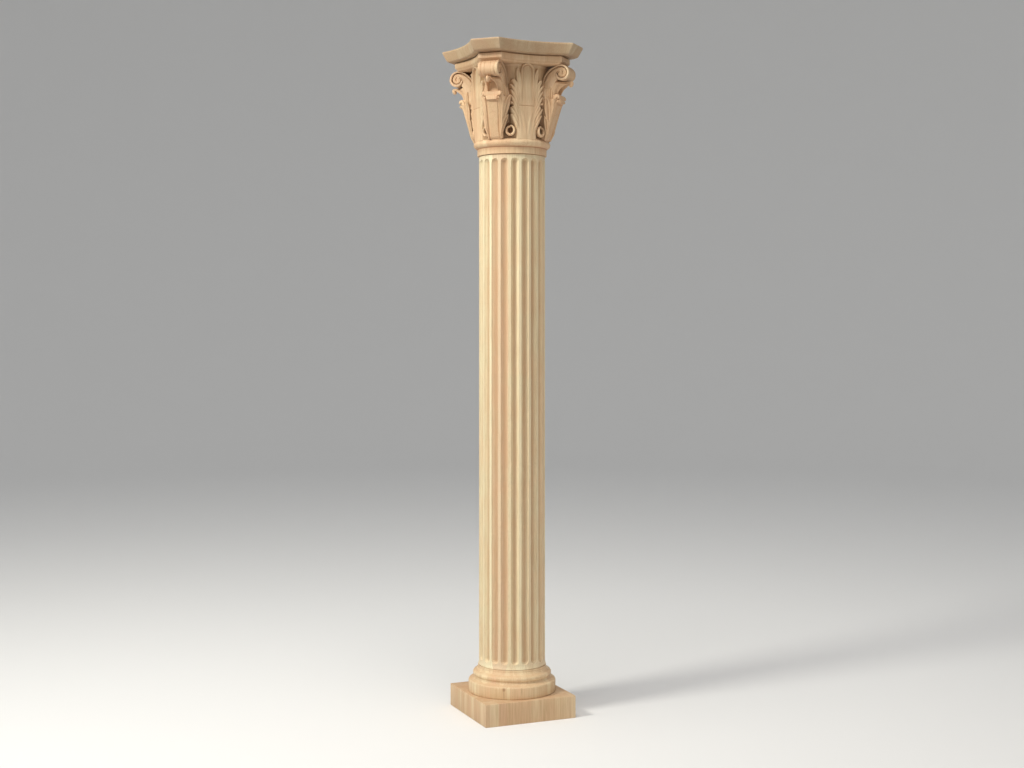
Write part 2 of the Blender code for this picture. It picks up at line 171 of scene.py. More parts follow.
def hollowness(rings, reach):
    """How far each point lies below the mean of its neighbours a few cells away, in parts, along the
    cross product of the grid's two central differences."""
    row = np.arange(len(rings))
    up, down = rings[np.minimum(row + reach, row[-1])], rings[np.maximum(row - reach, 0)]
    right, left = np.roll(rings, -reach, axis=1), np.roll(rings, reach, axis=1)
    mean = (up + down + left + right) / 4
    normal = np.cross(np.roll(rings, -1, axis=1) - np.roll(rings, 1, axis=1), np.gradient(rings, axis=0))
    return np.sum((mean - rings) * unit(normal), axis=2)


def shifted(values, i, j):
    """Map moved by i cells round the axis and j cells up, with its ends repeated."""
    rows = np.clip(np.arange(values.shape[1]) - j, 0, values.shape[1] - 1)
    return np.roll(values, i, axis=0)[:, rows]


def crevice_depth(radius, angle, height, top=50.0, span=2):
    """Depth in parts of points under the largest radius found near them, on a map of one quarter turn by
    degrees and parts of height; only points below the top count, and the depth fades out near it."""
    turn, rows = 90, int(top) + 3
    i = np.floor(angle).astype(int) % turn
    j = np.floor(height).astype(int)
    low = (j >= 0) & (height < top)
    reach = np.zeros((turn, rows))
    np.maximum.at(reach, (i[low], j[low]), radius[low])
    shifts = [(a, b) for a in range(-span, span + 1) for b in range(-span, span + 1)]
    moved = np.array([shifted(reach, a, b) for a, b in shifts])
    wide = np.maximum(moved.mean(axis=0), moved.max(axis=0) - 1.5)
    u, v = np.mod(angle - 0.5, 1), np.mod(height - 0.5, 1)
    i = np.floor(angle - 0.5).astype(int)
    j = np.clip(np.floor(height - 0.5).astype(int), 0, rows - 2)
    corners = [(a, b) for a in (0, 1) for b in (0, 1)]
    around = sum(wide[(i + a) % turn, j + b] * abs(1 - a - u) * abs(1 - b - v) for a, b in corners)
    return np.clip(around - radius, 0, 20) * (1 - soft(height, top - 4, top))


def shelter_depth(radius, angle, height):
    """Depth in parts of points inside the flat-sided envelope of everything at their height, plus more just
    under the abacus; it becomes painted shade."""
    fold = np.radians(np.mod(angle, 90) - 45)
    x, y = radius * np.cos(fold), radius * np.sin(fold)
    levels, step = 49, 2
    level = np.clip((height / step).astype(int), 0, levels - 1)
    depth = np.full(len(radius), 1e3)
    for facing in np.radians(np.linspace(-45, 45, 19)):
        along = x * cos(facing) + y * sin(facing)
        support = np.zeros(levels)
        np.maximum.at(support, level, along)
        support = np.convolve(np.pad(support, 2, mode="edge"), np.ones(5) / 5, mode="valid")
        at_height = np.interp(height, (np.arange(levels) + 0.5) * step, support)
        depth = np.minimum(depth, at_height - along)
    # Painted shade just under the abacus.
    return np.clip(depth, 0, 12) + 8 * soft(height, 87, 88.4)


# Factor and addition to the painted shade of some kinds of piece: the scroll's core is fully shaded, the
# strap takes a painted shadow of the abacus, webs and leaves less.
SHELTER_CHANGES = {"volute_core": (0, 20), "volute": (1, 5), "volute_web": (0.35, 0),
                   "corner_leaf": (0.35, 0), "upper_leaf": (0.35, 0)}


def shade_carving(items):
    """Give the vertices of the carved pieces the attributes crevice and shelter, which become painted
    shade:
    more in the niches and at the joint on top; some kinds of piece have their painted shade multiplied and
    raised."""
    places = []
    for item in items:
        place = np.empty(len(item.data.vertices) * 3)
        item.data.vertices.foreach_get("co", place)
        places.append(place.reshape(-1, 3))
    every = np.concatenate(places)
    radius = np.hypot(every[:, 0], every[:, 1]) / PART
    angle = np.mod(np.degrees(np.arctan2(every[:, 1], every[:, 0])) + 45, 90)
    height = (every[:, 2] - FOOT_Z["capital"]) / PART
    # Crevice depth becomes painted shade in the crevices.
    crevice = crevice_depth(radius, angle, height)
    from_corner = np.radians(np.where(angle < 45, angle, angle - 90))
    aside, out = np.abs(radius * np.sin(from_corner)), radius * np.cos(from_corner)
    niche = (1 - soft(aside, 3.8, 4.8)) * (1 - soft(out, 49.5, 52.5))
    niche *= soft(height, 56, 58) * (1 - soft(height, 68, 71))
    # Painted shade: more in the niches under the upper leaves and in the rebate under the abacus slab.
    shelter = shelter_depth(radius, angle, height) + 3 * niche + 12 * soft(height, 94.7, 94.95)
    start = 0
    for item, place in zip(items, places):
        end = start + len(place)
        factor, added = SHELTER_CHANGES.get(item.name.rsplit("_", 1)[0], (1, 0))
        shade = {"crevice": crevice[start:end], "shelter": shelter[start:end] * factor + added}
        for name, values in shade.items():
            item.data.attributes.new(name, "FLOAT", "POINT").data.foreach_set("value", values)
        start = end


def ring_faces(rows, columns):
    """Quads of a grid whose columns close on themselves, and triangles from its ends to two poles."""
    index = np.arange(rows * columns).reshape(rows, columns)
    right = np.roll(index, -1, axis=1)
    quads = np.stack([index[:-1], right[:-1], right[1:], index[1:]], axis=-1).reshape(-1, 4)
    low = np.column_stack([right[0], index[0], np.full(columns, rows * columns)])
    high = np.column_stack([index[-1], right[-1], np.full(columns, rows * columns + 1)])
    return quads, np.concatenate([low, high])


def closed_rings(name, rings, node, reach=2, crease=38, keep=1.0):
    """Closed piece of a node from rings in parts, stacked in the first axis and each closed in the second,
    with a pole in the middle of its first and last ring. It is turned to face outwards by the sign of its
    volume, and its vertices carry their hollowness, weighted by keep."""
    quads, triangles = ring_faces(*rings.shape[:2])
    points = np.concatenate([rings.reshape(-1, 3), [rings[0].mean(axis=0), rings[-1].mean(axis=0)]])
    hollow = np.append(hollowness(rings, reach) * keep, [0.0, 0.0])
    halves = np.concatenate([quads[:, (0, 1, 2)], quads[:, (0, 2, 3)], triangles])
    a, b, c = np.moveaxis(points[halves], 1, 0)
    if np.sum(a * np.cross(b, c)) < 0:
        quads, triangles, hollow = quads[:, ::-1], triangles[:, ::-1], -hollow
    mesh = bpy.data.meshes.new(name)
    mesh.vertices.add(len(points))
    mesh.vertices.foreach_set("co", (points * PART + (0.0, 0.0, FOOT_Z[node])).ravel())
    loops = np.append(quads, triangles).astype(np.int32)
    starts = np.append(np.arange(len(quads)) * 4, len(quads) * 4 + np.arange(len(triangles)) * 3)
    mesh.loops.add(len(loops))
    mesh.loops.foreach_set("vertex_index", loops)
    mesh.polygons.add(len(starts))
    mesh.polygons.foreach_set("loop_start", starts.astype(np.int32))
    mesh.update(calc_edges=True)
    mesh.validate()
    mesh.shade_smooth()
    mesh.set_sharp_from_angle(angle=radians(crease))
    # The hollowness becomes painted shade in hollows and a painted highlight on edges.
    mesh.attributes.new("hollow", "FLOAT", "POINT").data.foreach_set("value", np.clip(hollow, -1, 1))
    mesh.materials.append(WOODS[node])
    item = placed(name, mesh)
    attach(item, "root")
    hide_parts(node)
    return item


def carved(name, rings, **options):
    """Closed piece of the capital."""
    closed_rings(name, rings, "capital", **options)


def carved_quarters(name, rings, **options):
    """The same carved piece at each of the four faces or corners."""
    for k in range(4):
        carved(f"{name}_{k + 1}", quarter(rings, k), **options)


def point(x, y, z):
    """Points from their coordinates, each a number or an array."""
    return np.stack(np.broadcast_arrays(x, y, z), axis=-1).astype(float)


def cylindrical(radius, angle, height):
    """Points at a radius and an angle about the axis."""
    return point(radius * np.cos(angle), radius * np.sin(angle), height)


def turned(profile, count):
    """Rings of a turned body: each point (radius, height) of the profile carried round a circle."""
    radius, height = np.asarray(profile, dtype=float).T[:, :, None]
    return cylindrical(radius, circle(count), height)


def arc(centre, radii, start, end, count):
    """Points (radius, height) on part of an ellipse in the profile, angles in degrees from outwards."""
    angle = np.radians(np.linspace(start, end, count))
    return np.column_stack([centre[0] + radii[0] * np.cos(angle), centre[1] + radii[1] * np.sin(angle)])


def face_point(t, out, h):
    """Points on the face towards -Y."""
    return point(t, -out, h)


def corner_point(t, out, h):
    """Points on the corner between -X and -Y."""
    return point((t - out) / sqrt(2), (-t - out) / sqrt(2), h)


def quarter(points, k):
    """Points turned by k quarter turns about the axis."""
    x, y, z = np.moveaxis(points, -1, 0)
    for _ in range(k):
        x, y = -y, x
    return point(x, y, z)


# Wood


def feed(socket, value):
    """Give a socket another socket, a number, a vector or a colour of three numbers."""
    if isinstance(value, bpy.types.NodeSocket):
        socket.id_data.links.new(value, socket)
    elif isinstance(value, tuple) and socket.type == "RGBA":
        socket.default_value = (*value, 1.0)
    else:
        socket.default_value = value


def add_node(kind, inputs, **settings):
    """New shader node with its settings and inputs given, in the tree that one of the inputs comes from;
    returns its outputs."""
    inputs = dict(inputs)
    tree = next(value.id_data for value in inputs.values() if isinstance(value, bpy.types.NodeSocket))
    node = tree.nodes.new("ShaderNode" + kind)
    for name, value in settings.items():
        setattr(node, name, value)
    for key, value in inputs.items():
        feed(node.inputs[key], value)
    return node.outputs


def math_node(operation, *values, clamp=False):
    """Arithmetic on sockets or numbers, returns the result's socket."""
    return add_node("Math", enumerate(values), operation=operation, use_clamp=clamp)[0]


def vector_node(operation, *values):
    """Arithmetic on vectors, returns the node's outputs."""
    return add_node("VectorMath", enumerate(values), operation=operation)


def ramp_node(value, stops):
    """Smooth colour ramp over a socket, from a list of (place, colour)."""
    node = value.id_data.nodes.new("ShaderNodeValToRGB")
    node.color_ramp.interpolation = "EASE"
    while len(node.color_ramp.elements) < len(stops):
        node.color_ramp.elements.new(0.5)
    for element, (place, colour) in zip(node.color_ramp.elements, stops):
        element.position = place
        element.color = (*colour, 1.0)
    feed(node.inputs[0], value)
    return node.outputs[0]


def mix_node(blend_type, share, first, second):
    """Mix two colours; the share and each colour may be a socket or a constant."""
    inputs = {0: share, 6: first, 7: second}
    return add_node("Mix", inputs, data_type="RGBA", blend_type=blend_type)[2]


def stain_and_shade(colour, share, strength, mixed_colour):
    """Mix a colour into another by a share times a strength; used for real stains and marks, and for
    painted shade and painted highlight.
    """
    return mix_node("MIX", math_node("MULTIPLY", share, strength), colour, mixed_colour)


def scaled(coordinates, scale, shift=(0.0, 0.0, 0.0)):
    """Coordinates multiplied by a scale, with an optional vector added."""
    return vector_node("MULTIPLY_ADD", coordinates, scale, shift)[0]


def noise(vector, scale, detail, distortion=0.0):
    """Fractal noise, returns its value's socket."""
    inputs = {"Vector": vector, "Scale": scale, "Detail": detail, "Roughness": 0.6,
              "Distortion": distortion}
    return add_node("TexNoise", inputs)["Fac"]


def attribute(tree, name):
    """Value of an attribute of the mesh's vertices."""
    node = tree.nodes.new("ShaderNodeAttribute")
    node.attribute_name = name
    return node.outputs["Fac"]


PALE = (0.88, 0.76, 0.54)
TAN = (0.76, 0.585, 0.39)
PINK = (0.78, 0.56, 0.39)
BROWN = (0.30, 0.15, 0.07)
WHITE = (1.0, 1.0, 1.0)
BLACK = (0.0, 0.0, 0.0)


def brown_marks(place, colour, marks):
    """Mix brown into a colour inside small upright ellipsoids (centre, radius, half height, strength)."""
    for centre, radius, half_height, strength in marks:
        squeeze = (1 / radius, 1 / radius, 1 / half_height)
        shift = tuple(-part * by for part, by in zip(centre, squeeze))
        reach = vector_node("LENGTH", scaled(place, squeeze, shift))["Value"]
        inside = math_node("SUBTRACT", 1.6, reach, clamp=True)
        colour = stain_and_shade(colour, inside, strength, BROWN)
    return colour


def stave_colour(place, cells, grain, figure, spread):
    """Colour of glued-up beech, and its growth bands and streaks: each stave has its own tone, with
    growth bands, fine upright streaks, a slow change of hue and small brown flecks."""
    stave = {"Vector": vector_node("FLOOR", cells)[0]}
    random = add_node("TexWhiteNoise", stave, noise_dimensions="3D")
    own_place = scaled(random["Color"], (3.0, 3.0, 3.0))
    bands = noise(scaled(place, (1.0, 1.0, 0.07), own_place), 55.0, 3.0, 0.4)
    streaks = noise(scaled(place, (1.0, 1.0, 0.025), own_place), 420.0, 4.0)
    cloud = noise(place, 9.0, 2.0)
    tone = math_node("MULTIPLY_ADD", random["Value"], spread, 0.5 - spread / 2)
    shift = math_node("MULTIPLY", math_node("SUBTRACT", bands, 0.5), figure)
    tone = math_node("ADD", tone, shift)
    colour = ramp_node(tone, [(0.15, PALE), (0.55, TAN), (0.9, PINK)])
    fine = ramp_node(streaks, [(0.3, (0.80, 0.74, 0.66)), (0.62, WHITE)])
    colour = mix_node("MULTIPLY", 0.55 * grain, colour, fine)
    hue = ramp_node(cloud, [(0.35, (1.0, 0.96, 0.92)), (0.65, (0.98, 1.0, 0.97))])
    colour = mix_node("MULTIPLY", 0.8, colour, hue)
    specks = {"Vector": scaled(place, (520.0, 520.0, 95.0)), "Scale": 1.0}
    specks = add_node("TexVoronoi", specks)["Distance"]
    marks = ramp_node(specks, [(0.12, WHITE), (0.22, BLACK)])
    sparse = ramp_node(noise(place, 60.0, 2.0), [(0.5, BLACK), (0.62, WHITE)])
    marks = mix_node("MULTIPLY", 1.0, marks, sparse)
    return stain_and_shade(colour, marks, 0.4, BROWN), bands, streaks


def glue_lines(cells, colour):
    """Thin brown lines where two staves meet."""
    across = add_node("SeparateXYZ", {0: vector_node("FRACTION", cells)[0]})
    near = [math_node("LESS_THAN", across[axis], 0.02) for axis in (0, 1)]
    return stain_and_shade(colour, math_node("MAXIMUM", *near), 0.1, BROWN)


def painted_shade_and_end_grain(colour, depth):
    """Painted shade in grooves, crevices and sheltered places, a painted highlight on edges, and darker end
    grain.
    """
    tree = colour.id_data
    hollow = attribute(tree, "hollow")
    # Painted shade in grooves and hollows.
    groove = math_node("MULTIPLY", hollow, 2.6, clamp=True)
    colour = stain_and_shade(colour, groove, depth, (0.40, 0.185, 0.09))
    # Painted shade in deep crevices.
    deep = math_node("SUBTRACT", attribute(tree, "crevice"), 1.5)
    deep = math_node("MULTIPLY", deep, 0.12, clamp=True)
    colour = stain_and_shade(colour, deep, 0.85, (0.18, 0.095, 0.05))
    # Painted shade in sheltered places, under the abacus and in niches.
    shade = math_node("MULTIPLY", attribute(tree, "shelter"), 1 / 20, clamp=True)
    colour = mix_node("MULTIPLY", shade, colour, (0.55, 0.52, 0.48))
    # Painted highlight on convex edges.
    edge = math_node("MULTIPLY", hollow, -1.6, clamp=True)
    colour = stain_and_shade(colour, edge, 0.25, (0.95, 0.82, 0.62))
    normal = tree.nodes.new("ShaderNodeNewGeometry").outputs["Normal"]
    upright = add_node("SeparateXYZ", {0: normal})[2]
    end_grain = math_node("POWER", math_node("ABSOLUTE", upright), 3.0)
    return stain_and_shade(colour, end_grain, 0.45, (0.50, 0.34, 0.215))


def wood(name, tint, stave_width=0.034, grain=1.0, depth=0.55, figure=1.2, spread=0.34, spots=()):
    """Pale beech glued up from upright staves, marked and tinted, with a fine grain in relief; painted
    shade darkens its hollows, crevices and sheltered places, a painted highlight lightens its edges, and
    its end grain is darker.
    """
    material = bpy.data.materials.new(name)
    material.use_nodes = True
    tree = material.node_tree
    place = tree.nodes.new("ShaderNodeTexCoord").outputs["Object"]
    cells = scaled(place, (1 / stave_width, 1 / stave_width, 0.0))
    colour, bands, streaks = stave_colour(place, cells, grain, figure, spread)
    colour = glue_lines(cells, brown_marks(place, colour, spots))
    # Painted shade and painted highlight from the mesh's attributes, then the tint.
    colour = mix_node("MULTIPLY", 1.0, painted_shade_and_end_grain(colour, depth), tint)
    relief = add_node("Bump", {"Strength": 0.25, "Distance": 0.0006, "Height": streaks})["Normal"]
    gloss = ramp_node(bands, [(0.3, (0.5, 0.5, 0.5)), (0.7, (0.64, 0.64, 0.64))])
    shader = {"Base Color": colour, "Roughness": gloss, "Specular IOR Level": 0.35, "Normal": relief}
    for name, value in shader.items():
        feed(tree.nodes["Principled BSDF"].inputs[name], value)
    return material


DISC_MARKS = (
    ((-0.0872, -0.1313, 0.1150), 0.0042, 0.0055, 0.62),
    ((-0.0872, -0.1313, 0.0990), 0.0013, 0.0190, 0.50),
    ((-0.0284, -0.1550, 0.1100), 0.0012, 0.0120, 0.50),
)
WOODS = {
    "plinth": wood("plinth_beech", (0.89, 0.80, 0.72), 0.031, grain=1.4, figure=0.8, spread=0.5),
    "base": wood("base_beech", (1.0, 0.95, 0.88), figure=0.8, spots=DISC_MARKS),
    "shaft": wood("shaft_beech", (1.0, 1.035, 1.01), grain=1.2, depth=0.95, figure=0.45, spread=0.6),
    "capital": wood("capital_beech", (0.97, 0.87, 0.80), 0.06, depth=0.8, figure=0.7),
    # The abacus's darker tint is painted shade: the same beech, darkened for its downward-facing slab.
    "abacus": wood("abacus_beech", (0.66, 0.60, 0.56), 0.06, figure=0.5),
}


def build_plinth():
    """Square block: a square with eased corners carried up a profile whose top edge is a small arc."""
    ease = 0.55
    straight_end = 0.6
    corner_ease = 0.18
    top = PLINTH_HEIGHT - GAP
    profile = [(0.25, 0), (0, 0.25)]
    profile += [(ease * (1 - cos(a)), top - ease + ease * sin(a)) for a in np.linspace(0, pi / 2, 6)]
    angle = np.linspace(-pi / 4, pi / 4, 25)[:-1]
    rings = []
    for inset, height in profile:
        half = PLINTH_HALF - inset
        side = np.tan(angle) * (half - straight_end)
        plan = point(half, side, height)
        plan[0, :2] = (half - corner_ease, corner_ease - half)
        rings.append(np.concatenate([quarter(plan, k) for k in range(4)]))
    closed_rings("plinth_block", np.array(rings), "plinth", crease=50)


def base_profile():
    """Profile of the turned base: disc, hollow, torus with a quirk above it, and a fillet."""
    top = BASE_HEIGHT - GAP
    stretches = [
        [(DISC_RADIUS - 0.6, 0.0)],
        arc((DISC_RADIUS - 0.6, 0.7), (0.6, 0.7), -60, 0, 4),
        arc((DISC_RADIUS - 1.9, 10.2), (1.9, 2.1), 0, 78, 9),
        through([(40.9, 12.5), (39.2, 13.2), (38, 14.4), (37.6, 15.6)], 10),
        arc((36.6, 18.2), (2.35, 2.7), -62, 72, 15),
        [(36.35, 21.2), (36, 21.3)],
        through([(35.6, 21.6), (34.7, 22.6), (34.2, 23.8)], 6),
        [(34, 24), (34.0, top - 0.45), (33.4, top)],
    ]
    return np.concatenate(stretches)


def build_base():
    """Turned base: its profile carried round the axis."""
    closed_rings("turned_base", turned(base_profile(), 256), "base", reach=1)


def build_shaft():
    """Fluted shaft: a ball-ended cutter run straight up a cylinder, twenty times round.

    At each height a flute's half width is the ball's where the cylinder cuts it, and its depth across that
    width is the ball's height over the cylinder. The grid's columns follow the half width. The hollowness
    is given
    here: painted shade in the flutes and at the joint under the necking, and a painted highlight on the
    lands."""
    top = SHAFT_HEIGHT - GAP
    cut_level = FLUTE_CUTTER - FLUTE_DEPTH
    full = sqrt(FLUTE_CUTTER ** 2 - cut_level ** 2)
    swing = np.linspace(0, pi / 2, 15)
    low_end = FLUTE_BOTTOM + full * (1 - np.sin(swing[::-1]))
    high_end = FLUTE_TOP - full * (1 - np.sin(swing))
    straight = np.linspace(low_end[-1], high_end[0], 42)[1:-1]
    foot, head = (0, 0.5, 1.2, 2.2, 3.4), (FLUTE_TOP + 1.6, top - 1.1, top - 0.25, top)
    heights = np.concatenate([foot, low_end, straight, high_end, head])
    past = np.maximum(np.maximum(FLUTE_BOTTOM + full - heights, heights - (FLUTE_TOP - full)), 0)
    half = np.sqrt(np.clip(full ** 2 - past ** 2, 0, None))
    ball = np.sqrt(np.clip(FLUTE_CUTTER ** 2 - past ** 2, 0, None))
    body = SHAFT_RADIUS + 0.82 * (1 - soft(heights, 0.0, 4.6)) ** 2
    body -= 0.25 * (heights > top - 0.1) + 0.6 * (heights < 0.1)

    across = np.sin(np.linspace(-pi / 2, pi / 2, 15))
    fillet = np.linspace(0, 1, 6)[1:-1]
    pitch = 2 * pi * SHAFT_RADIUS / FLUTES
    flute_x = half[:, None] * across
    land_x = half[:, None] + (pitch - 2 * half[:, None]) * fillet
    depth = np.clip(np.sqrt(np.clip(ball[:, None] ** 2 - flute_x ** 2, 0, None)) - cut_level, 0, None)
    x = np.concatenate([flute_x, land_x], axis=1)
    starts = (np.arange(FLUTES) * pitch)[:, None]
    angle = ((starts + x[:, None]) / SHAFT_RADIUS).reshape(len(heights), -1)
    sunk = np.tile(np.concatenate([depth, np.zeros_like(land_x)], axis=1), FLUTES)
    rings = cylindrical(body[:, None] - sunk, angle, heights[:, None])
    shaft = closed_rings("fluted_shaft", rings, "shaft", reach=1, crease=28)
    # Painted shade in the flutes and under the necking, painted highlight on the lands.
    joint_shade = 0.7 * soft(heights, top - 1.1, top - 0.2)[:, None]
    shade = 0.51 * sunk / FLUTE_DEPTH - 0.3 + joint_shade
    shaft.data.attributes["hollow"].data.foreach_set("value", np.append(shade, [0.0, 0.0]))


def abacus_plan(scale, height):
    """Plan of the abacus: hollow sides as arcs, straight cuts at the corners, and eased arrises."""
    ease = np.array([0.105, 0.175])
    end = (ABACUS_CORNER + ABACUS_CUT) / sqrt(2)
    half = (ABACUS_CORNER - ABACUS_CUT) / sqrt(2)
    sagitta = end - ABACUS_SIDE
    radius = (half ** 2 + sagitta ** 2) / (2 * sagitta)
    x = np.linspace(-half, half, 41)
    y = -(ABACUS_SIDE + radius - np.sqrt(radius ** 2 - x ** 2))
    side = np.column_stack([x, y])
    side[0] += ease
    side[-1] += ease * (-1, 1)
    start, stop = np.array([half, -end]), np.array([end, -half])
    cut = start + (stop - start) * (0.02 + 0.96 * np.linspace(0, 1, 9)[1:-1, None])
    x, y = np.concatenate([side, cut]).T * scale
    return np.concatenate([quarter(point(x, y, height), k) for k in range(4)])


def plan_rings(profile):
    """Rings of the abacus plan at each (scale, height)."""
    return np.array([abacus_plan(scale, height) for scale, height in profile])


def build_abacus():
    """Abacus slab: its plan scaled up a flat ovolo, between a slope and a quarter round, to a narrow
    upright fillet at the top."""
    fillet = 1.4
    ovolo = ABACUS_HEIGHT - fillet
    foot = ABACUS_FOOT_SCALE
    profile = [(foot - 0.004, 0.0), (foot, 0.25)]
    for share in np.linspace(0.1, 1, 24) ** 2:
        round_foot = sqrt(1 - (1 - min(share / 0.16, 1)) ** 2)
        bulge = 0.30 * round_foot + 0.10 * sqrt(1 - (1 - share) ** 2) + 0.60 * share
        profile.append((foot + (1 - foot) * bulge, 0.25 + (ovolo - 0.25) * share))
    top = ABACUS_HEIGHT
    profile += [(1.0, top - 0.35), (0.9985, top - 0.1), (0.995, top), (0.98, top), (0.5, top)]
    keep = np.ones((len(profile), 1))
    keep[-3:] = 0
    closed_rings("abacus_slab", plan_rings(profile), "abacus", reach=1, crease=30, keep=keep)


def build_tier():
    """Lower tier of the abacus, carved with the capital: a bevel under an upright band."""
    foot, low, high = TIER_FOOT_SCALE, TIER_SCALE, CAPITAL_HEIGHT - GAP
    profile = [(foot - 0.05, high - 9.45), (foot - 0.012, high - 8.6), (foot, high - 8.25),
               (foot + 0.012, high - 6.95), (low - 0.004, high - 5.95), (low, high - 5.65),
               (low, high - 1.3), (low - 0.004, high - 1.1), (low - 0.022, high - 1.05),
               (low - 0.022, high)]
    carved("abacus_tier", plan_rings(profile), reach=1)


# Relief


def stroke_field(x, y, points, steps=18):
    """Distance from each place (x, y) to a smooth curve through points (x, y, width), divided by the
    curve's width at the nearest place, and the share of the way along it."""
    curve = through(points, steps)
    best = np.full(x.shape, 1e9)
    share = np.zeros(x.shape)
    for i, (a, b) in enumerate(zip(curve, curve[1:])):
        d = b[:2] - a[:2]
        length = max(float(d @ d), 1e-9)
        s = np.clip(((x - a[0]) * d[0] + (y - a[1]) * d[1]) / length, 0, 1)
        gap = np.hypot(x - a[0] - s * d[0], y - a[1] - s * d[1])
        ratio = gap / (a[2] + (b[2] - a[2]) * s)
        closer = ratio < best
        best = np.where(closer, ratio, best)
        share = np.where(closer, (i + s) / (steps - 1), share)
    return best, share


def plate(ratio, side=0.22):
    """Flat-topped section with steep sides eased at top and foot, about ratio 1."""
    return 1 - soft(ratio, 1 - side, 1 + side)


def rib(ratio):
    """Rounded section that runs out softly at its sides."""
    return np.clip(1 - ratio ** 2, 0, 1) ** 0.8


def dip(ratio):
    """Section of a soft groove."""
    return np.exp(-(ratio * 1.6) ** 2)


def bell_radius(h):
    """Radius of the bell between the leaves."""
    return glide(h, (0, 15, 46, 70, BELL_TOP), (34.4, 34.5, 35.6, 37, 38.4))


BELL_CUTS = (
    (3.6, 0.22, ((0, 28, 0.8), (-1, 34, 1.8), (-0.4, 42, 2), (-0.6, 52, 1.2))),
    (3.4, 0.22, ((0, 20.6, 2.4), (0, 24.4, 2.6), (0, 30, 1))),
    (1.6, 0.15, ((0, 21.4, 5.3), (0, 23, 5.5), (0, 26, 4.4))),
)


def build_bell():
    """Necking, astragal and bell: a turned profile, with deep cuts sunk into the bell between the leaves.

    The cuts (depth, softness of the side, stroke) are drawn on the unrolled bell about the middle line of
    each gap: one up the gap, one round hole in each eyelet and a shallow ring behind it."""
    necking = [(34.35, 0), (34.6, 0.25), (34.6, 6.2), (34.75, 6.6)]
    astragal = np.append(arc((33.4, 11), (4.9, 4.15), -68, 68, 25), [(34.9, 15), (34.6, 15.3)], axis=0)
    heights = np.concatenate([np.arange(15.7, 53, 0.6), np.arange(54.0, BELL_TOP, 2.0), [BELL_TOP]])
    bell = np.column_stack([bell_radius(heights), heights])
    profile = np.concatenate([necking, astragal, bell, [(30.0, BELL_TOP + 1)]])
    columns = 400
    unrolled = 36.0
    rings = turned(profile, columns)
    from_face = np.mod(circle(columns) + pi / 4, pi / 2) - pi / 4
    aside, level = np.broadcast_arrays((np.abs(from_face) - EYELET_ANGLE) * unrolled, profile[:, 1:])
    cut = np.zeros_like(aside)
    for depth, side, points in BELL_CUTS:
        ratio, _ = stroke_field(aside, level, points)
        cut = np.maximum(cut, depth * plate(ratio, side))
    keep = 1 - cut * (level > 15.6) / np.hypot(rings[..., 0], rings[..., 1])
    rings = rings * np.stack([keep, keep, np.ones_like(keep)], axis=-1)
    carved("bell", rings)


LEAFLETS = (
    ((6.4, 46, 1), (7.4, 58, 1.8), (9, 71, 2.5), (9.9, 77, 2.3), (10.7, 81.6, 1.1)),
    ((8.2, 48, 1.2), (10, 59, 2), (12, 66, 2.5), (14.5, 70.3, 1.9)),
    ((8.4, 44.5, 1.2), (10.4, 53.5, 1.8), (13, 60.6, 2.1), (16.7, 65.8, 1)),
    ((8.6, 39.5, 1.2), (10.6, 48.3, 1.8), (13.2, 55.4, 2.1), (16.8, 60.6, 1)),
    ((8.6, 35, 1.2), (10.8, 43.4, 1.8), (13.4, 50.2, 2), (16.7, 55, 0.9)),
    ((8.4, 31, 1.2), (10.8, 38.6, 1.8), (13.6, 44.8, 2), (16.8, 49.4, 0.9)),
    ((8.6, 26, 1.2), (10.8, 32.6, 1.8), (13.4, 38.6, 2), (16.6, 43.4, 0.9)),
    ((8.6, 21, 1.2), (10.4, 27, 1.7), (12.6, 32.4, 1.9), (15.6, 37, 0.9)),
)
LEAF_OUTLINE = (
    (13, 17, 20, 25, 30, 35, 39, 44, 50, 62, 68, 75, 82),
    (10.7, 10.5, 10.3, 10.4, 12, 13.6, 14.2, 14.5, 14.5, 13.6, 11.4, 9, 7.2),
)


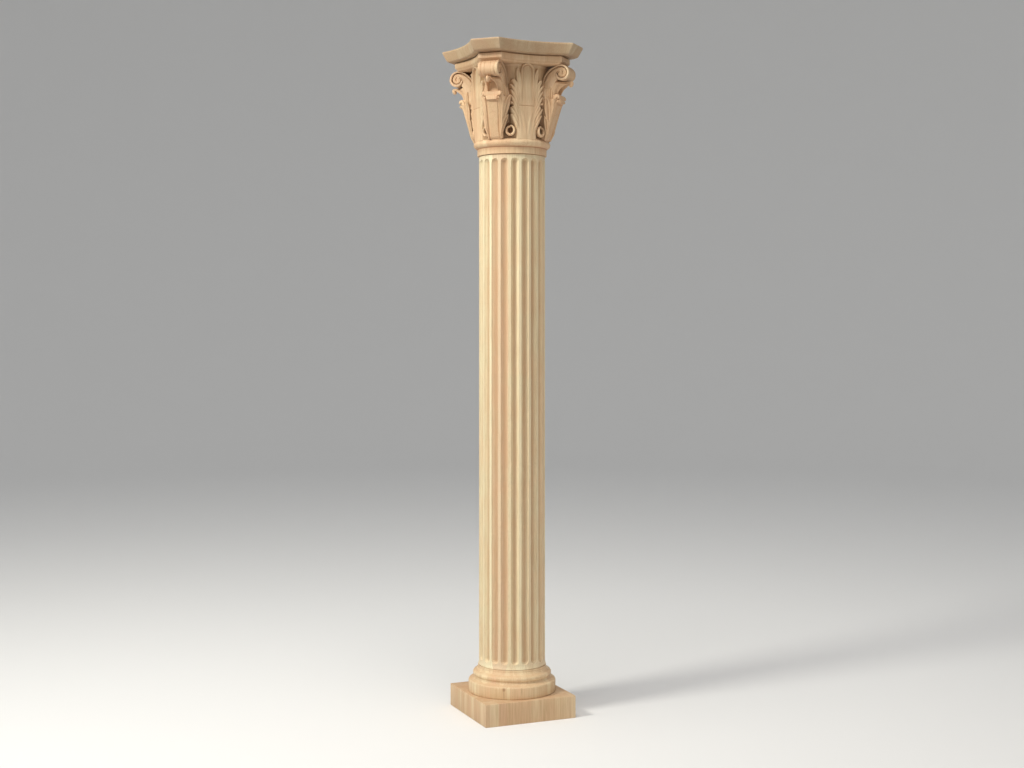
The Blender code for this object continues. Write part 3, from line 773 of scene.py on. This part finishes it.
def face_leaf_front(t, h):
    """How far out the face leaf stands at (t, h), and its share of the plate there: a flat plate whose
    outline is the union of its tongue, body and leaflets, pierced at one place on each side, with blades
    and grooves on it, that dives under the bell past its outline."""
    side = np.abs(t)
    cap, border_top = 80.8, 80.4
    tongue, _ = stroke_field(side, h, [(0, 12, 10), (0, 30, 8.8), (0, 55, 8.4), (0, cap, 7.3)])
    outline = side / glide(h, *LEAF_OUTLINE) + soft(h, 78, 82)
    body = np.maximum(plate(tongue, 0.08), plate(outline, 0.06))
    buried = np.maximum(plate(tongue / 1.2, 0.14), plate(outline / 1.17, 0.12))
    relief = np.zeros_like(t)
    for points in LEAFLETS:
        ratio, share = stroke_field(side, h, points)
        body = np.maximum(body, plate(ratio))
        buried = np.maximum(buried, plate(ratio / 1.7, 0.3))
        blade = 1.5 * rib(ratio)
        if points in LEAFLETS[:2]:
            blade -= 0.8 * rib(ratio * 1.7) * soft(share, 0.3, 0.6) * (1 - soft(share, 0.85, 1.0))
        relief = np.maximum(relief, soft(share, 0.0, 0.5) * blade)
    border, _ = stroke_field(side, h, [(6, 46, 1), (6, 60, 1.1), (6.1, 80, 1.2)])
    from_middle = np.where(h > border_top, np.hypot(t, h - cap), side)
    border = np.where(h > border_top, np.abs(from_middle - 6.1) / 1.2, border)
    relief = np.maximum(relief, 1.4 * rib(border) * soft(h, 46, 74))
    inside = soft(6.0 - from_middle, 0.0, 1.4) * soft(h, 46, 58)
    hollow = 0.5 + 1.1 * soft(h, 72, 86) - 0.5 * (1 - (t / 6.0) ** 2)
    relief = np.where(side < 6.2, relief - hollow * inside, relief)
    cross_line = 46.2 + 0.12 * np.sin(t * 0.8)
    relief -= 0.4 * dip((h - cross_line) / 0.6) * (1 - soft(side, 7.0, 9.0))
    relief += 0.4 * (1 - soft(h, 45.4, 46.4)) * (1 - soft(side, 8.0, 10.0))
    for points in (((1, 16, 1.2), (2.4, 28, 1.5), (4.6, 38, 1.5), (6.6, 44.5, 1)),
                   ((6.2, 17, 1.2), (6.8, 28, 1.4), (8.4, 37, 1.4), (9.6, 42, 1))):
        ratio, share = stroke_field(side, h, points)
        relief += 0.35 * rib(ratio) * np.sin(pi * share)
    solid = 1 - dip(np.hypot(side - 15.4, h - 46.4) / 1.4)
    body *= solid
    out = glide(h, (14, 30, 50, 70, 88), (36.9, 37.3, 38.2, 38.9, 39.6)) - 0.006 * t ** 2
    bell_out = np.sqrt(np.clip(bell_radius(h) ** 2 - t ** 2, 25, None))
    deep = bell_out - 0.5 - 6.0 * (1 - buried * solid)
    return deep + body * (out + relief - deep), body


def build_face_leaves():
    """Four face leaves: the relief over a fine grid, closed behind by a strip inside the bell."""
    t = np.linspace(-18.4, 18.4, 121)
    h = np.linspace(13.6, 89.2, 240)
    tt, hh = np.meshgrid(t, h)
    out, body = face_leaf_front(tt, hh)
    back = face_point(np.linspace(17, -17, 6), 24.0, h[:, None])
    rings = np.concatenate([face_point(tt, out, hh), back], axis=1)
    keep = np.pad(soft(body, 0.75, 1.0), ((0, 0), (0, 6)))
    carved_quarters("face_leaf", rings, crease=60, keep=keep)


def leaf_reach(h):
    """How far the flat front of a corner leaf stands out."""
    return LEAF_FOOT_REACH + LEAF_SLOPE * (h - LEAF_FOOT)


def table_section(levels, table, rise, count):
    """Plans of a corner shape at many heights, from a table of control points (t, out) at a few levels.

    Each control point glides from level to level, and each plan glides from point to point, from the
    middle of the front to the root in the bell; the other side is its mirror image."""
    points = range(len(table[0]))
    q = np.linspace(0, points[-1], count)
    plans = []
    for column in np.moveaxis(np.array(table, dtype=float), -1, 0):
        keyed = np.array([glide(rise, levels, control) for control in column.T])
        plans.append(np.array([glide(q, points, row) for row in keyed.T]))
    t, out = plans
    t = np.concatenate([-t[:, :0:-1], t], axis=1)
    out = np.concatenate([out[:, :0:-1], out], axis=1)
    return t, out, np.broadcast_to(rise[:, None], t.shape)


def section_normals(t, out):
    """Unit outward normals (t, out) of open sections, row by row."""
    dt = np.gradient(t, axis=1)
    do = np.gradient(out, axis=1)
    size = np.hypot(dt, do)
    return -do / size, dt / size


def arc_length(t, out):
    """Distance along each section from its middle."""
    step = np.hypot(np.diff(t, axis=1), np.diff(out, axis=1))
    along = np.cumsum(np.pad(step, ((0, 0), (1, 0))), axis=1)
    middle = along.shape[1] // 2
    return np.abs(along - along[:, middle:middle + 1])


def leaning(level, k):
    """Shift in t of the corner leaf between the two seen faces, which leans to the left at its foot."""
    return FRONT_LEAN * (1 - soft(level, 20, 52)) * (k == 0)


def build_corner_shape(name, t, out, level, back_half, back_out, crease):
    """Close the plans of a corner shape behind, and place it at the four corners."""
    back = corner_point(np.linspace(1, -1, 5) * back_half, back_out, level[:, :1])
    for k in range(4):
        rings = np.concatenate([corner_point(t + leaning(level, k), out, level), back], axis=1)
        carved(f"{name}_{k + 1}", quarter(rings, k), crease=crease)


CORNER_ROLL = ((9, 14, 1.7), (9.1, 26, 2), (9.5, 36, 2.2), (10, 44, 2.2), (11.4, 50.5, 2),
               (12.6, 54, 1.6), (12.4, 56.2, 1.3), (10.6, 57, 1))
CORNER_BLADES = (
    ((7.8, 42, 28, 0.9), (10.2, 42.8, 36, 2.6), (12, 42.8, 45, 3.4), (13.5, 42.6, 51.6, 2.4),
     (15.6, 42, 56, 0.3)),
    ((6.2, 39.4, 16.5, 0.8), (8.9, 40.7, 24.5, 2.3), (10.5, 40.7, 31, 2.5), (13, 39.8, 37, 0.3)),
    ((9.2, 44, 49, 1.2), (10.4, 44.7, 54.5, 2.3), (10.3, 44.8, 60, 2.1), (9.7, 44.4, 66.2, 0.3)),
)
CORNER_RIBS = (
    ((7.2, 37.6, 14.6, 1), (7.8, 40.2, 22, 1.3), (8.5, 43.4, 34, 1.6), (9.2, 46, 44, 1.7),
     (9.6, 47.6, 51, 1.6), (9.6, 48.8, 54.8, 1.4), (9.5, 50.8, 56.7, 1.3), (9.2, 52.6, 55.9, 1.2),
     (8.9, 52.9, 54.4, 0.8)),
    ((6.3, 38.2, 14.6, 0.8), (6.7, 41.2, 24, 0.9), (7.2, 44.8, 35, 1), (7.7, 47.8, 45, 1.1),
     (7.9, 49.4, 49.6, 1.1), (7.7, 51.2, 52, 1.1), (7.3, 52.6, 52.3, 1), (7, 53.2, 51, 0.7)),
)
CORNER_LEVELS = (13.6, 16, 22, 30, 36, 40, 46, 50.5, 53.3, 54.4, 57.6, 58.3, 59)


def corner_leaf_row(level):
    """Control points of the corner leaf's plan at one of its levels, below the lip."""
    half = glide(level, (13.6, 22, 30, 36, 40, 46, 53.3), (8, 7.8, 9.4, 10.4, 10.8, 11.6, 12.4))
    band = glide(level, (13.6, 17, 22, 41), (5.6, 5, 4.4, 5.8))
    reach = leaf_reach(level)
    root = glide(level, (13.6, 30, 53.3), (33, 34.5, 37.5))
    drop = reach - root
    return [(0, reach - 0.8), (band, reach - 0.8), (band + 0.45 * (half - band), reach - 0.10 * drop),
            (half - 1.1, reach - 0.32 * drop), (half - 0.1, reach - 0.66 * drop), (half, root)]


LIP_ROWS = [
    [(0, 53.2), (8.3, 53.2), (8.8, 52.5), (9, 50.5), (9.6, 46.5), (11.8, 38.2)],
    [(0, 53.2), (9.2, 53.2), (9.6, 52.5), (9.2, 50.5), (9.4, 46.5), (11.6, 38.2)],
    [(0, 52.6), (8.9, 52.6), (9.3, 52), (8.9, 50.2), (9.2, 46.3), (11.5, 38.2)],
    [(0, 48), (7.8, 47.8), (8, 47.2), (8.4, 46), (9, 44.4), (11.4, 38.2)],
]


def build_corner_leaves():
    """Four corner leaves behind their flat bands: plans from the astragal up to the wide upper lip, with
    a roll raised beside the band along the plans' normals."""
    rise = spans((13.6, 53, 112), (53.15, 54.4, 9), (54.7, 57.6, 12), (57.75, 59, 8))
    table = [corner_leaf_row(level) for level in CORNER_LEVELS[:-4]] + LIP_ROWS
    t, out, level = table_section(CORNER_LEVELS, table, rise, 60)
    normal_t, normal_out = section_normals(t, out)
    along = arc_length(t, out)
    ratio, share = stroke_field(along, level, CORNER_ROLL)
    relief = 0.9 * soft(share, 0.0, 0.3) * rib(ratio)
    groove = glide(level, (14, 22, 41, 54), (5.9, 5.1, 6.6, 6.8))
    relief -= 0.4 * dip((along - groove) / 0.75) * (1 - soft(level, 52, 53.2)) * soft(level, 17, 24)
    relief -= 0.8 * (1 - soft(level, 13.8, 16.4))
    t, out = t + relief * normal_t, out + relief * normal_out
    build_corner_shape("corner_leaf", t, out, level, back_half=6.0, back_out=26.0, crease=60)


def flank_pieces(name, path, facing, wide, lift):
    """Sections carried along a path of points (t, out, height), on both flanks of the four corner leaves.
    Each point of a section stands wide of the path, square to the facing direction, and lifted off it."""
    tangent = np.gradient(path, axis=0)
    across = unit(np.cross(facing, tangent))[:, None]
    outward = unit(np.cross(tangent, across[:, 0]))[:, None]
    t, out, level = np.moveaxis(path[:, None] + wide[..., None] * across + lift[..., None] * outward, -1, 0)
    for number in range(8):
        side, k = 2 * (number // 4) - 1, number % 4
        rings = corner_point(side * t + leaning(level, k), out, level)
        carved(f"{name}_{number + 1}", quarter(rings, k), reach=1, crease=50)


def build_corner_blades():
    """Three pointed blades on each flank of each corner leaf: an almond section, hollowed like a gutter on
    its outer side, carried along a smooth path of points (t, out, height, half width)."""
    turn = circle(32)
    for letter, points in zip("abc", CORNER_BLADES):
        path = through(points, 44)
        share = np.linspace(0, 1, len(path))[:, None]
        width = path[:, 3:]
        lift = 1.3 * np.sin(turn) * np.minimum(width, 1.6) / 1.6
        gutter = 1.4 * dip(np.cos(turn) / 0.62) * (np.sin(turn) > 0) * soft(share, 0.05, 0.35)
        lift -= gutter * np.minimum(width, 2.0) / 2.0 * (1 - soft(share, 0.85, 1.0))
        flank_pieces("corner_blade_" + letter, path[:, :3], (0.88, 0.47, 0), width * np.cos(turn), lift)


def build_corner_ribs():
    """Two round ribs up each flank of each corner leaf, which curl over into the ends of its lips: an
    oval carried along a smooth path of points (t, out, height, size)."""
    turn = circle(16)
    for letter, points in zip("ab", CORNER_RIBS):
        path = through(points, 80)
        wide, lift = 1.2 * path[:, 3:] * np.cos(turn), 0.85 * path[:, 3:] * np.sin(turn)
        flank_pieces("corner_rib_" + letter, path[:, :3], (1, 0, 0), wide, lift)


def build_corner_bands():
    """Flat bands down the middle of the corner leaves, each with a fine arched line across it, flaring
    into the narrow lower lip."""
    rise = spans((14.6, 47.8, 78), (48, 49.9, 8), (50, 50.5, 7), (50.8, 53.6, 9), (53.8, 54.4, 5))
    lip = glide(rise, (14.6, 48.2, 49, 50, 50.4, 53.6, 54.4), (0, 0, -0.1, 0, 1, 1, 0.8))
    front = leaf_reach(np.minimum(rise, 48.5)) - 0.9 * (1 - soft(rise, 14.6, 16.4))
    front += (LIP_REACH - front) * lip
    half = glide(rise, (14.6, 17, 22, 41, 49, 54), (5.6, 5, 4.7, 5.2, 5.2, 6.5))
    across = np.sin(np.linspace(-pi / 2, pi / 2, 61))
    t = half[:, None] * across
    out = front[:, None] - 0.9 * (1 - np.sqrt(1 - np.abs(across) ** 8))
    level = np.broadcast_to(rise[:, None], t.shape)
    arched_line = 39.8 - 0.37 * np.abs(t) ** 1.3
    out -= 0.2 * dip((level - arched_line) / 0.7) * (1 - soft(np.abs(t), 3.6, 4.6))
    back_half, back_out = half[:, None] * 0.9, front[:, None] - 7.0
    build_corner_shape("corner_band", t, out, level, back_half, back_out, crease=45)


UPPER_LEVELS = (52.5, 56.5, 59.5, 63.5, 66, 67.8, 68.8, 69.5, 70.6, 71.4, 72)
UPPER_POINTS = (
    ((0, 48.2), (4, 48.2), (4.7, 48.2), (5.1, 48.2), (5.6, 48.2), (6.1, 48.2), (7.6, 47.8), (9, 44.8),
     (11.8, 39)),
    ((0, 48.2), (4, 48.2), (4.7, 48.3), (5.1, 49.3), (5.6, 49.3), (6.1, 48.6), (8, 48), (10, 45.2),
     (12.6, 39)),
    ((0, 48.2), (4, 48.2), (4.6, 48.4), (5, 50.3), (5.5, 50.4), (6, 49.2), (8.2, 48.2), (9.9, 45.4),
     (11.8, 38.8)),
    ((0, 48.2), (3.8, 48.2), (4.4, 48.6), (4.8, 52.4), (5.3, 52.5), (5.8, 50.4), (8.4, 48.6), (9.6, 45.8),
     (10.4, 38.6)),
    ((0, 48.3), (3.5, 48.3), (4.1, 48.9), (4.4, 55.2), (5, 55.3), (5.9, 51.6), (8.6, 49.2), (9.2, 46),
     (9, 38.5)),
    ((0, 48.6), (2.8, 48.8), (3.3, 50), (3.6, 58), (4.2, 58), (5.8, 53), (8.7, 49.6), (9, 46.4),
     (8.4, 38.5)),
    ((0, 52), (1.6, 53), (2.2, 56), (2.8, 60), (3.5, 59.6), (5.6, 54.6), (8.7, 49.9), (8.9, 46.6),
     (8.2, 38.5)),
    ((0, 61.4), (1, 61.4), (1.8, 61.4), (2.4, 61), (2.9, 59.6), (5.2, 55), (8.5, 50.1), (8.7, 46.8),
     (8, 38.4)),
    ((0, 63.4), (1, 63.3), (1.7, 62.8), (2.1, 61.4), (2.5, 59.2), (4.6, 55), (8, 50), (8.4, 46.6),
     (7.8, 38.3)),
    ((0, 62.8), (0.9, 62.6), (1.5, 62), (1.9, 60.4), (2.3, 58), (4.2, 54.2), (7.4, 49.6), (8, 46.2),
     (7.6, 38.3)),
    ((0, 55.6), (1, 55.3), (1.6, 54.8), (2, 54), (2.6, 52.6), (3.8, 51), (6.4, 48.6), (7.4, 45.2),
     (7.4, 38.3)),
)


def build_upper_leaves():
    """Four small leaves under the volutes: a niche between two rims that run out into a narrow neck, and
    a drooping tip in three soft lobes."""
    rise = spans((52.5, 68.6, 62), (68.7, 72, 30))
    t, out, level = table_section(UPPER_LEVELS, UPPER_POINTS, rise, 80)
    build_corner_shape("upper_leaf", t, out, level, back_half=9.0, back_out=26.0, crease=60)
    turn = circle(36)
    tilt = np.linspace(-0.48 * pi, 0.48 * pi, 25)[:, None]
    lobed = np.cos(tilt) ** 0.85 * (1 + 0.10 * np.cos(3 * turn))
    out = 62.9 + 2.15 * np.cos(turn) * lobed + 0.5 * np.sin(tilt)
    tip = corner_point(1.95 * np.sin(turn) * lobed, out, 68.8 + 2.95 * np.sin(tilt))
    carved_quarters("upper_tip", tip, crease=60)


def volute_path():
    """Outer edge of the rolled strap: up the stalk from the bell, over the top, round the scroll and in."""
    stalk = through([(34.4, 54), (35.2, 64), (36.2, 71), (37.6, 75.5), (39.9, 79.1), (44.2, 83.2),
                     (49.2, 86.2)], 40)[:-1]
    done = np.linspace(0, 1, 100) * 0.86 - 33 / 360
    radius = glide(done, (-0.1, 0, 0.12, 0.25, 0.5, 0.75, 0.92), (8.9, 8.4, 8.35, 8.3, 7, 6.1, 5.2))
    angle = pi / 2 - 2 * pi * done
    coil = np.column_stack([VOLUTE_REACH + radius * np.cos(angle), VOLUTE_HEIGHT + radius * np.sin(angle)])
    return np.concatenate([stalk, coil])


def path_inward(path):
    """Unit normals of a path, to the right of the way it runs."""
    return unit(np.gradient(path, axis=0))[:, ::-1] * (1, -1)


def scroll_point(t, radius, angle):
    """Point at a radius and an angle about the scroll's axis."""
    return corner_point(t, VOLUTE_REACH + radius * np.cos(angle), VOLUTE_HEIGHT + radius * np.sin(angle))


STRAP_SECTION = (
    (-10.3, -0.5), (-10.3, -0.15), (-10.1, 0.05), (-9.2, 0.1), (-8, 0.1), (-7.5, 0.05), (-7.25, -0.3),
    (-7, -0.35), (-6.75, -0.05), (-6.3, 0.05), (-5, 0.05), (-3.7, 0.05), (-3.35, 0), (-3.15, -0.3),
    (-2.95, -0.3), (-2.75, -0.02), (-1.3, 0), (0, 0),
)


def strap_rings():
    """Rolled strap: a band with grooves along it, carried along the volute's path."""
    path = volute_path()
    row = np.arange(len(path))[:, None]
    thick = glide(row, (0, 39, 50, 78, 107, 130, row[-1, 0]), (1.2, 1.3, 1.5, 2.1, 2.4, 2.1, 1.2))
    narrow = glide(row, (0, 124, row[-1, 0]), (1, 1, 0.89))
    t, lift = np.array(STRAP_SECTION).T
    t = np.concatenate([t, -t[-2::-1], [10.3, 9.9, 6.0, 0.0, -6.0, -9.9, -10.3]])
    outer = np.concatenate([lift, lift[-2::-1]]) + 0 * thick
    inner = -thick - [-0.35, -0.1, 0.0, 0.0, 0.0, -0.1, -0.35]
    rise = np.concatenate([outer, inner], axis=1)[..., None]
    out, level = np.moveaxis(path[:, None] - path_inward(path)[:, None] * rise, -1, 0)
    return corner_point(t * narrow, out, level)


def core_rings():
    """Core of the scroll: a disc that closes it at the bottom of the groove beside its rim."""
    radius = np.array([0.8, 3.0, 6.2, 6.8, 6.8, 6.8, 6.2, 3.0, 0.8])[:, None]
    t = np.array([7.3, 7.3, 7.2, 6.9, 0.0, -6.9, -7.2, -7.3, -7.3])[:, None]
    return scroll_point(t, radius, circle(72))


def eye_rings():
    """Field inside the scroll's groove: a flat disc whose outline winds in with the rim, with the end of
    the groove winding on over both its sides."""
    angle = circle(96)
    outline = glide(np.degrees(angle), (0, 45, 76, 123, 160, 190, 270, 315, 360),
                    (5.35, 5.75, 6, 5.4, 4.4, 3.4, 3.75, 4.6, 5.35))
    half = [(share, 9.25) for share in np.linspace(0.06, 0.86, 18)]
    half += [(0.93, 9.15), (0.98, 8.95), (1, 8.6), (1, 7)]
    share, t = np.array(half + [(share, -t) for share, t in half[::-1]]).T[:, :, None]
    radius = share * outline
    wound = np.mod(190 - np.degrees(angle), 360)
    fine = glide(wound, (0, 100, 190, 270, 360), (3.3, 2.5, 1.9, 1.3, 1))
    depth = 0.8 * dip((radius - fine) / 0.6) * soft(wound, 0, 30) * (1 - soft(wound, 215, 270))
    return scroll_point(t - np.sign(t) * depth * (share < 0.95), radius, angle)


def web_rings():
    """Web between the strap and the leaf: a thick sheet, sunk in a narrow groove along the strap."""
    path = volute_path()[6:54]
    inward = path_inward(path)[:, None]
    low = through([(36.5, 54), (41, 56), (45, 62), (47.5, 68), (51, 74), (50.3, 77.6),
                   (50.6, 80.4), (53, 81.4), (55.8, 80.4)], len(path))[:, None]
    near_strap = path[:, None] + inward * np.array([0.8, 2.0, 2.25, 2.5, 2.8, 3.4])[:, None]
    last = near_strap[:, -1:]
    further = last + (low - last) * np.array([0.35, 0.7, 1.0])[:, None]
    out, level = np.moveaxis(np.concatenate([near_strap, further], axis=1), -1, 0)
    half = glide(np.arange(len(path)), (0, 40, len(path) - 1), (1, 1, 0.96))[:, None]
    half = half * (7, 7.1, 7.9, 8.7, 9.1, 9.25, 9.3, 9.3, 9.3)
    far = corner_point(-half, out, level)[:, ::-1]
    return np.concatenate([corner_point(half, out, level), far], axis=1)


def build_volutes():
    """Four volutes: a strap rolled up in a scroll, its core and eye, and a web beside its stalk."""
    for name, rings in (("volute", strap_rings()), ("volute_core", core_rings()),
                        ("volute_eye", eye_rings()), ("volute_web", web_rings())):
        carved_quarters(name, rings, crease=50)


def build_eyelets():
    """Eight eyelets: a tapering rim with an oval section carried round an upright loop that closes at the
    top, where its end curls in under its start."""
    turn = np.radians(np.linspace(84, 452, 60))[:, None]
    share = np.linspace(0, 1, 60)[:, None]
    width = 1.35 * np.sin(np.linspace(0.14, pi - 0.2, 60)[:, None]) ** 0.3
    loop = glide(share, (0, 0.15, 0.75, 1), (4.2, 3.95, 3.8, 3.1))
    section = circle(14)
    aside = (loop + width * np.cos(section)) * np.cos(turn)
    level = EYELET_HEIGHT + (1.12 * loop + width * np.cos(section)) * np.sin(turn)
    out = 37.0 + 2.0 * width * np.sin(section)
    for number in range(8):
        side = 2 * (number % 2) - 1
        facing = (number // 2 - 1) * pi / 2 + side * EYELET_ANGLE
        x = out * cos(facing) - side * aside * sin(facing)
        y = out * sin(facing) + side * aside * cos(facing)
        carved(f"eyelet_{number + 1}", point(x, y, level), reach=1)


build_plinth()
build_base()
build_shaft()
build_bell()
build_tier()
build_face_leaves()
build_corner_leaves()
build_corner_blades()
build_corner_ribs()
build_corner_bands()
build_upper_leaves()
build_volutes()
build_eyelets()
pieces = [item for item in bpy.data.objects if item.type == "MESH"]
shade_carving([item for item in pieces if item.active_material == WOODS["capital"]])
build_abacus()


# Floor, light and camera


def build_floor():
    """Pale matt floor that curves up into a wall far away: an arc in profile carried round the axis."""
    bend = np.linspace(0, pi / 2, 24)
    radius = np.concatenate([[1e-3, 3.0, 6.0], 9.0 + 7.0 * np.sin(bend), [16.0]])
    height = np.concatenate([[0.0, 0.0, 0.0], 7.0 * (1 - np.cos(bend)), [18.0]])
    points = turned(np.column_stack([radius, height]), 96).reshape(-1, 3)
    quads, _ = ring_faces(len(radius), 96)
    mesh = bpy.data.meshes.new("floor")
    mesh.from_pydata(points.tolist(), [], quads[:, ::-1].tolist() + [list(range(96))])
    mesh.shade_smooth()
    paper = bpy.data.materials.new("floor_paper")
    paper.use_nodes = True
    shader = paper.node_tree.nodes["Principled BSDF"]
    shader.inputs["Base Color"].default_value = (0.82, 0.82, 0.81, 1.0)
    shader.inputs["Roughness"].default_value = 0.9
    mesh.materials.append(paper)
    placed("floor", mesh)


def aim(item, place, target):
    """Put an object at a place, looking at a target."""
    item.location = place
    item.rotation_euler = (Vector(target) - Vector(place)).to_track_quat("-Z", "Y").to_euler()


def area_light(name, azimuth, elevation, distance, size, power, colour):
    """Round soft light on the column's middle, its azimuth in degrees to the left of the camera's."""
    data = bpy.data.lights.new(name, "AREA")
    data.shape = "DISK"
    data.size = size
    data.energy = power
    data.color = colour
    a, e = CAMERA_AZIMUTH - radians(azimuth), radians(elevation)
    middle = Vector((0, 0, 1.2))
    place = Vector((cos(a) * cos(e), sin(a) * cos(e), sin(e))) * distance + middle
    aim(placed(name, data), place, middle)


def build_light():
    """Key light from the left, wide light from above, weak warm fill from the right and an even sky."""
    world = bpy.data.worlds.new("sky")
    bpy.context.scene.world = world
    bpy.context.scene.view_settings.view_transform = "Standard"
    world.use_nodes = True
    background = world.node_tree.nodes["Background"]
    background.inputs["Color"].default_value = (0.96, 0.97, 1.0, 1.0)
    background.inputs["Strength"].default_value = 0.5
    area_light("key", 57, 38, 5.0, 1.1, 155, (1.0, 0.98, 0.90))
    area_light("top", 20, 74, 5.0, 3.0, 150, (1.0, 0.97, 0.93))
    area_light("fill", -24, 8, 6.0, 3.0, 30, (1.0, 0.78, 0.64))


def build_camera():
    """Level camera at the photograph's viewing angle, shifted down to frame the column."""
    data = bpy.data.cameras.new("camera")
    data.lens = CAMERA_LENS
    data.sensor_width = 36.0
    data.shift_y = CAMERA_SHIFT
    data.clip_end = 200.0
    camera = placed("camera", data)
    place = (CAMERA_DISTANCE * cos(CAMERA_AZIMUTH), CAMERA_DISTANCE * sin(CAMERA_AZIMUTH), CAMERA_HEIGHT)
    aim(camera, place, (0, 0, CAMERA_HEIGHT))
    bpy.context.scene.camera = camera


build_floor()
build_light()
build_camera()
